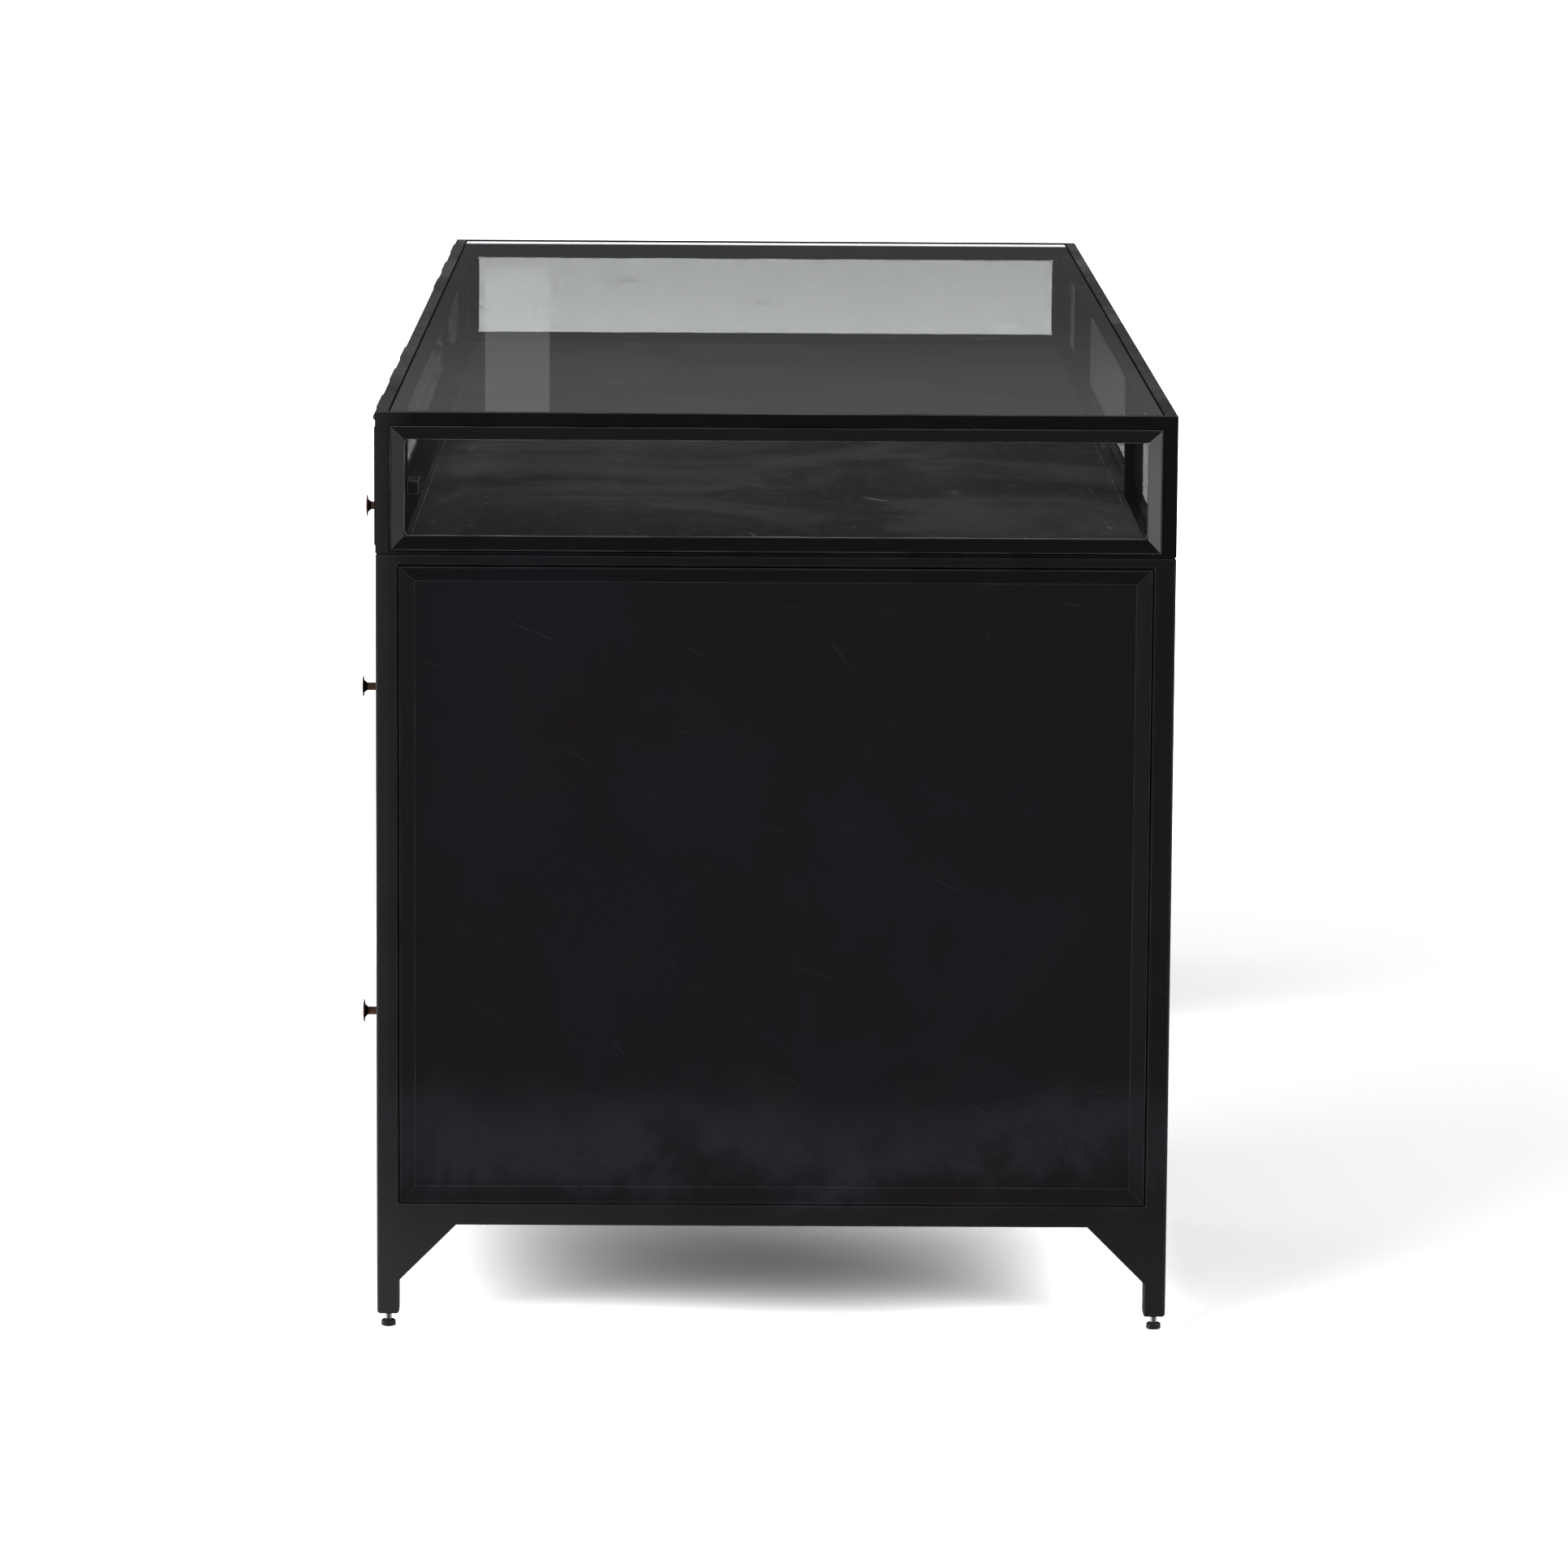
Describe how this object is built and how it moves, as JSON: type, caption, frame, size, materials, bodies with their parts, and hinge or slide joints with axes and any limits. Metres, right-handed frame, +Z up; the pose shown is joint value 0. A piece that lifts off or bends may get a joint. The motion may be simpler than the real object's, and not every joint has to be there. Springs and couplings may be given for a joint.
{
  "type": "glass-topped display desk",
  "caption": "Glass-topped blackened metal display desk: a shallow glazed show case with flip-up front doors, carried on drawer pedestals either side of a knee space, on screw levelling feet.",
  "frame": {"origin": "on the floor, at the centre of the whole bounding box seen from above", "axes": "+X runs along the desk towards its right end as the user sees it, -Y is the front with the drawers, flap doors and knobs, +Z is up"},
  "size_m": [1.83, 0.7006, 0.79],
  "materials": {
    "blackened_iron": "blackened iron with a waxed, slightly mottled satin surface, edges rubbed lighter",
    "dark_sheet_steel": "thin dark sheet steel, satin, inside of the drawers",
    "liner_steel": "dark grey display floor, fine scratches and dust",
    "glass": "clear flat glass with faint scratches and smudges",
    "aged_bronze": "aged copper-brown cast knob, dark neck, rubbed bright on the crown",
    "plated_steel": "worn plated butt hinge, light grey",
    "zinc_runners": "zinc-plated pressed steel runner",
    "zinc_feet": "zinc-plated levelling screw with a dark pad",
    "catch_steel": "dark magnet catch body"
  },
  "bodies": {
    "desk": {"case_frame": "blackened_iron", "case_floor_liner": "liner_steel", "top_glass": "glass", "left_end_bead": "blackened_iron", "left_end_glass": "glass", "right_end_bead": "blackened_iron", "right_end_glass": "glass", "back_bead": "blackened_iron", "back_glass_left": "glass", "back_glass_centre": "glass", "back_glass_right": "glass", "left_door_hinge_1": "plated_steel", "left_door_hinge_2": "plated_steel", "centre_door_hinge_1": "plated_steel", "centre_door_hinge_2": "plated_steel", "right_door_hinge_1": "plated_steel", "right_door_hinge_2": "plated_steel", "left_catch": "catch_steel", "right_catch": "catch_steel", "left_pedestal_frame": "blackened_iron", "left_end_panel": "blackened_iron", "left_kneehole_panel": "blackened_iron", "left_back_panel": "blackened_iron", "left_end_runners": "zinc_runners", "left_kneehole_runners": "zinc_runners", "right_pedestal_frame": "blackened_iron", "right_end_panel": "blackened_iron", "right_kneehole_panel": "blackened_iron", "right_back_panel": "blackened_iron", "right_end_runners": "zinc_runners", "right_kneehole_runners": "zinc_runners"},
    "left_door": {"left_door_frame": "blackened_iron", "left_door_glass": "glass", "left_door_knob": "aged_bronze"},
    "centre_door": {"centre_door_frame": "blackened_iron", "centre_door_glass": "glass", "centre_door_knob": "aged_bronze"},
    "right_door": {"right_door_frame": "blackened_iron", "right_door_glass": "glass", "right_door_knob": "aged_bronze"},
    "left_upper_drawer": {"left_upper_drawer_front": "blackened_iron", "left_upper_drawer_tray": "dark_sheet_steel", "left_upper_drawer_knob": "aged_bronze"},
    "left_lower_drawer": {"left_lower_drawer_front": "blackened_iron", "left_lower_drawer_tray": "dark_sheet_steel", "left_lower_drawer_knob": "aged_bronze"},
    "right_upper_drawer": {"right_upper_drawer_front": "blackened_iron", "right_upper_drawer_tray": "dark_sheet_steel", "right_upper_drawer_knob": "aged_bronze"},
    "right_lower_drawer": {"right_lower_drawer_front": "blackened_iron", "right_lower_drawer_tray": "dark_sheet_steel", "right_lower_drawer_knob": "aged_bronze"},
    "left_leveller_front_end": {"left_leveller_front_end": "zinc_feet"},
    "left_leveller_front_kneehole": {"left_leveller_front_kneehole": "zinc_feet"},
    "left_leveller_back_end": {"left_leveller_back_end": "zinc_feet"},
    "left_leveller_back_kneehole": {"left_leveller_back_kneehole": "zinc_feet"},
    "right_leveller_front_end": {"right_leveller_front_end": "zinc_feet"},
    "right_leveller_front_kneehole": {"right_leveller_front_kneehole": "zinc_feet"},
    "right_leveller_back_end": {"right_leveller_back_end": "zinc_feet"},
    "right_leveller_back_kneehole": {"right_leveller_back_kneehole": "zinc_feet"}
  },
  "joints": [
    {"name": "left_door_flap", "type": "hinge", "parent": "desk", "child": "left_door", "pos_m": [-0.69225, -0.32945, 0.78], "axis": [-1, 0, 0], "range_deg": [0, 110]},
    {"name": "centre_door_flap", "type": "hinge", "parent": "desk", "child": "centre_door", "pos_m": [0, -0.32945, 0.78], "axis": [-1, 0, 0], "range_deg": [0, 110]},
    {"name": "right_door_flap", "type": "hinge", "parent": "desk", "child": "right_door", "pos_m": [0.69225, -0.32945, 0.78], "axis": [-1, 0, 0], "range_deg": [0, 110]},
    {"name": "left_upper_drawer_slide", "type": "slide", "parent": "desk", "child": "left_upper_drawer", "axis": [0, -1, 0], "range_m": [0, 0.45]},
    {"name": "left_lower_drawer_slide", "type": "slide", "parent": "desk", "child": "left_lower_drawer", "axis": [0, -1, 0], "range_m": [0, 0.45]},
    {"name": "right_upper_drawer_slide", "type": "slide", "parent": "desk", "child": "right_upper_drawer", "axis": [0, -1, 0], "range_m": [0, 0.45]},
    {"name": "right_lower_drawer_slide", "type": "slide", "parent": "desk", "child": "right_lower_drawer", "axis": [0, -1, 0], "range_m": [0, 0.45]},
    {"name": "left_leveller_front_end_screw", "type": "hinge", "parent": "desk", "child": "left_leveller_front_end", "pos_m": [-0.9055, -0.31825, 0.005], "axis": [0, 0, 1], "range_deg": [-720, 1440]},
    {"name": "left_leveller_front_kneehole_screw", "type": "hinge", "parent": "desk", "child": "left_leveller_front_kneehole", "pos_m": [-0.4845, -0.31825, 0.005], "axis": [0, 0, 1], "range_deg": [-720, 1440]},
    {"name": "left_leveller_back_end_screw", "type": "hinge", "parent": "desk", "child": "left_leveller_back_end", "pos_m": [-0.9055, 0.34075, 0.005], "axis": [0, 0, 1], "range_deg": [-720, 1440]},
    {"name": "left_leveller_back_kneehole_screw", "type": "hinge", "parent": "desk", "child": "left_leveller_back_kneehole", "pos_m": [-0.4845, 0.34075, 0.005], "axis": [0, 0, 1], "range_deg": [-720, 1440]},
    {"name": "right_leveller_front_end_screw", "type": "hinge", "parent": "desk", "child": "right_leveller_front_end", "pos_m": [0.9055, -0.31825, 0.005], "axis": [0, 0, 1], "range_deg": [-720, 1440]},
    {"name": "right_leveller_front_kneehole_screw", "type": "hinge", "parent": "desk", "child": "right_leveller_front_kneehole", "pos_m": [0.4845, -0.31825, 0.005], "axis": [0, 0, 1], "range_deg": [-720, 1440]},
    {"name": "right_leveller_back_end_screw", "type": "hinge", "parent": "desk", "child": "right_leveller_back_end", "pos_m": [0.9055, 0.34075, 0.005], "axis": [0, 0, 1], "range_deg": [-720, 1440]},
    {"name": "right_leveller_back_kneehole_screw", "type": "hinge", "parent": "desk", "child": "right_leveller_back_kneehole", "pos_m": [0.4845, 0.34075, 0.005], "axis": [0, 0, 1], "range_deg": [-720, 1440]}
  ]
}
